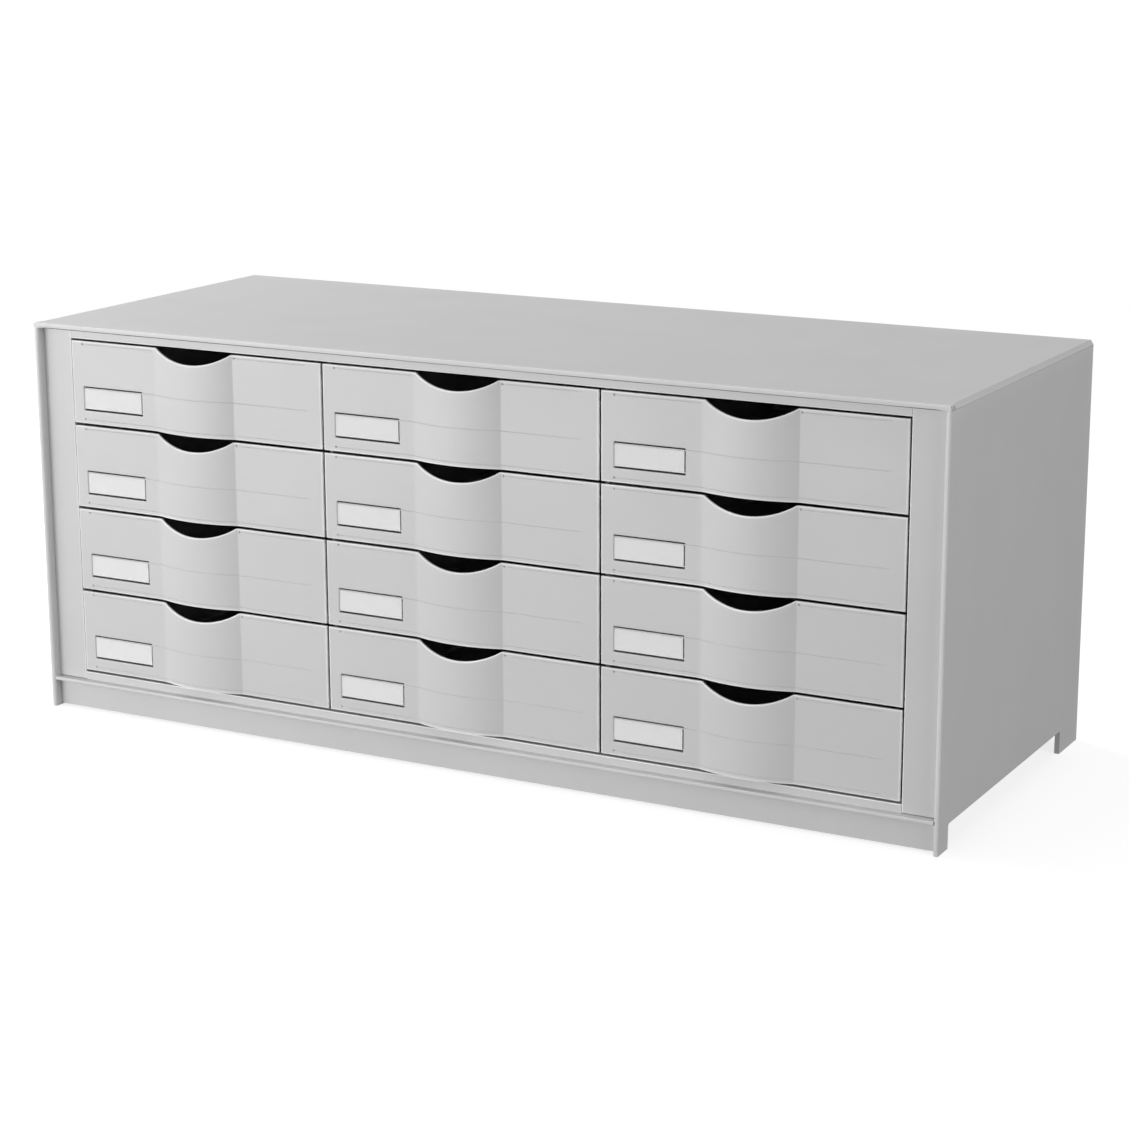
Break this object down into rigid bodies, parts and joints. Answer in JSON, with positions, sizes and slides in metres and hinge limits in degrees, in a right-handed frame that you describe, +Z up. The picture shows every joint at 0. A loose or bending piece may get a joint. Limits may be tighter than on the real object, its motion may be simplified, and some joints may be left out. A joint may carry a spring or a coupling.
{
  "type": "desktop paper drawer organiser",
  "caption": "Wide low desktop cabinet of shallow sliding paper drawers, each with a bowed grip, an arched finger scoop and a label pocket.",
  "frame": {"origin": "centre of the footprint, on the surface that the feet stand on", "axes": "+X to the right seen from the front, +Y to the back, +Z up; the drawers slide out along -Y"},
  "size_m": [0.86, 0.338, 0.354],
  "materials": {
    "cabinet_plastic": "light grey moulded polystyrene, fine satin grain",
    "drawer_plastic": "light grey moulded polystyrene, satin",
    "label_card": "plain white card",
    "clear_plastic": "clear polystyrene cover"
  },
  "bodies": {
    "cabinet": {"top_panel": "cabinet_plastic", "side_panel_left": "cabinet_plastic", "side_panel_right": "cabinet_plastic", "base_panel": "cabinet_plastic", "back_panel": "cabinet_plastic", "plinth": "cabinet_plastic", "stile_left": "cabinet_plastic", "stile_right": "cabinet_plastic", "top_rail": "cabinet_plastic", "bottom_rail": "cabinet_plastic", "liner_left": "cabinet_plastic", "liner_right": "cabinet_plastic", "partition_left": "cabinet_plastic", "partition_right": "cabinet_plastic"},
    "drawer_row1_left": {"drawer_row1_left": "drawer_plastic", "label_card_row1_left": "label_card", "label_window_row1_left": "clear_plastic"},
    "drawer_row1_centre": {"drawer_row1_centre": "drawer_plastic", "label_card_row1_centre": "label_card", "label_window_row1_centre": "clear_plastic"},
    "drawer_row1_right": {"drawer_row1_right": "drawer_plastic", "label_card_row1_right": "label_card", "label_window_row1_right": "clear_plastic"},
    "drawer_row2_left": {"drawer_row2_left": "drawer_plastic", "label_card_row2_left": "label_card", "label_window_row2_left": "clear_plastic"},
    "drawer_row2_centre": {"drawer_row2_centre": "drawer_plastic", "label_card_row2_centre": "label_card", "label_window_row2_centre": "clear_plastic"},
    "drawer_row2_right": {"drawer_row2_right": "drawer_plastic", "label_card_row2_right": "label_card", "label_window_row2_right": "clear_plastic"},
    "drawer_row3_left": {"drawer_row3_left": "drawer_plastic", "label_card_row3_left": "label_card", "label_window_row3_left": "clear_plastic"},
    "drawer_row3_centre": {"drawer_row3_centre": "drawer_plastic", "label_card_row3_centre": "label_card", "label_window_row3_centre": "clear_plastic"},
    "drawer_row3_right": {"drawer_row3_right": "drawer_plastic", "label_card_row3_right": "label_card", "label_window_row3_right": "clear_plastic"},
    "drawer_row4_left": {"drawer_row4_left": "drawer_plastic", "label_card_row4_left": "label_card", "label_window_row4_left": "clear_plastic"},
    "drawer_row4_centre": {"drawer_row4_centre": "drawer_plastic", "label_card_row4_centre": "label_card", "label_window_row4_centre": "clear_plastic"},
    "drawer_row4_right": {"drawer_row4_right": "drawer_plastic", "label_card_row4_right": "label_card", "label_window_row4_right": "clear_plastic"}
  },
  "joints": [
    {"name": "slide_row1_left", "type": "slide", "parent": "cabinet", "child": "drawer_row1_left", "axis": [0, -1, 0], "range_m": [0, 0.235]},
    {"name": "slide_row1_centre", "type": "slide", "parent": "cabinet", "child": "drawer_row1_centre", "axis": [0, -1, 0], "range_m": [0, 0.235]},
    {"name": "slide_row1_right", "type": "slide", "parent": "cabinet", "child": "drawer_row1_right", "axis": [0, -1, 0], "range_m": [0, 0.235]},
    {"name": "slide_row2_left", "type": "slide", "parent": "cabinet", "child": "drawer_row2_left", "axis": [0, -1, 0], "range_m": [0, 0.235]},
    {"name": "slide_row2_centre", "type": "slide", "parent": "cabinet", "child": "drawer_row2_centre", "axis": [0, -1, 0], "range_m": [0, 0.235]},
    {"name": "slide_row2_right", "type": "slide", "parent": "cabinet", "child": "drawer_row2_right", "axis": [0, -1, 0], "range_m": [0, 0.235]},
    {"name": "slide_row3_left", "type": "slide", "parent": "cabinet", "child": "drawer_row3_left", "axis": [0, -1, 0], "range_m": [0, 0.235]},
    {"name": "slide_row3_centre", "type": "slide", "parent": "cabinet", "child": "drawer_row3_centre", "axis": [0, -1, 0], "range_m": [0, 0.235]},
    {"name": "slide_row3_right", "type": "slide", "parent": "cabinet", "child": "drawer_row3_right", "axis": [0, -1, 0], "range_m": [0, 0.235]},
    {"name": "slide_row4_left", "type": "slide", "parent": "cabinet", "child": "drawer_row4_left", "axis": [0, -1, 0], "range_m": [0, 0.235]},
    {"name": "slide_row4_centre", "type": "slide", "parent": "cabinet", "child": "drawer_row4_centre", "axis": [0, -1, 0], "range_m": [0, 0.235]},
    {"name": "slide_row4_right", "type": "slide", "parent": "cabinet", "child": "drawer_row4_right", "axis": [0, -1, 0], "range_m": [0, 0.235]}
  ]
}
